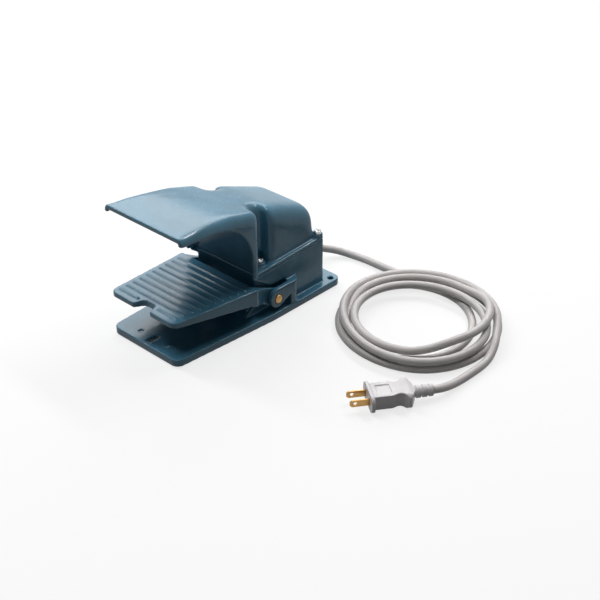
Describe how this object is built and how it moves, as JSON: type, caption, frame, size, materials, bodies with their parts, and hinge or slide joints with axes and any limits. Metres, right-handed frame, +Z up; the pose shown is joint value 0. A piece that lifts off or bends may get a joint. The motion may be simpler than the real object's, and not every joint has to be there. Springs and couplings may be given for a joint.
{
  "type": "guarded foot switch",
  "caption": "Guarded treadle foot switch in a cast housing, with a ribbed sprung pedal under a fixed hood, a coiled mains cord and a flat-blade plug.",
  "frame": {"origin": "under the middle of the base plate, on the surface that the rubber feet stand on", "axes": "+Y towards the heel, where the cord leaves; -Y towards the toe of the pedal; +X to the side that the coil lies on; +Z up"},
  "size_m": [0.2852, 0.2723, 0.1248],
  "materials": {
    "enamel": "gloss stove enamel on cast aluminium",
    "foot_rubber": "matt",
    "zinc_plated": "bright zinc plate on steel",
    "brass": "bright drawn",
    "bronze": "sintered, oiled",
    "spring_wire": "drawn, zinc plated",
    "sheet_steel": "rolled, zinc plated",
    "phenolic": "moulded, satin",
    "plunger_plastic": "moulded, gloss",
    "wire_insulation": "extruded",
    "cord_pvc": "extruded, satin",
    "plug_pvc": "moulded, satin"
  },
  "bodies": {
    "base": {"base_casting": "enamel", "rubber_feet": "foot_rubber", "cover_casting": "enamel", "cover_screws": "zinc_plated", "pivot_pin": "brass", "return_spring": "spring_wire", "switch_bracket": "sheet_steel", "bracket_screws": "zinc_plated", "switch_case": "phenolic", "switch_terminals": "brass", "terminal_screws": "brass", "switch_screws": "zinc_plated", "switch_nuts": "zinc_plated", "cord_boot": "cord_pvc", "cord_jacket": "cord_pvc", "inner_wires": "wire_insulation", "cord_lead": "cord_pvc", "cord_coil": "cord_pvc", "cord_tail": "cord_pvc", "plug_body": "plug_pvc", "plug_blades": "brass"},
    "pedal": {"pedal_casting": "enamel", "pivot_bushes": "bronze", "adjusting_screw": "zinc_plated", "lock_nut": "zinc_plated"},
    "plunger": {"switch_plunger": "plunger_plastic"}
  },
  "joints": [
    {"name": "pedal_hinge", "type": "hinge", "parent": "base", "child": "pedal", "pos_m": [0, 0.0165, 0.021], "axis": [1, 0, 0], "range_deg": [0, 8], "stiffness_Nm_per_rad": 3, "springref_deg": -20.05, "deforming": ["return_spring"]},
    {"name": "plunger_slide", "type": "slide", "parent": "base", "child": "plunger", "axis": [0, 0, 1], "range_m": [0, 0.004]}
  ],
  "couplings": [
    {"joint": "plunger_slide", "follows": "pedal_hinge", "m_per_rad": 0.0275}
  ]
}
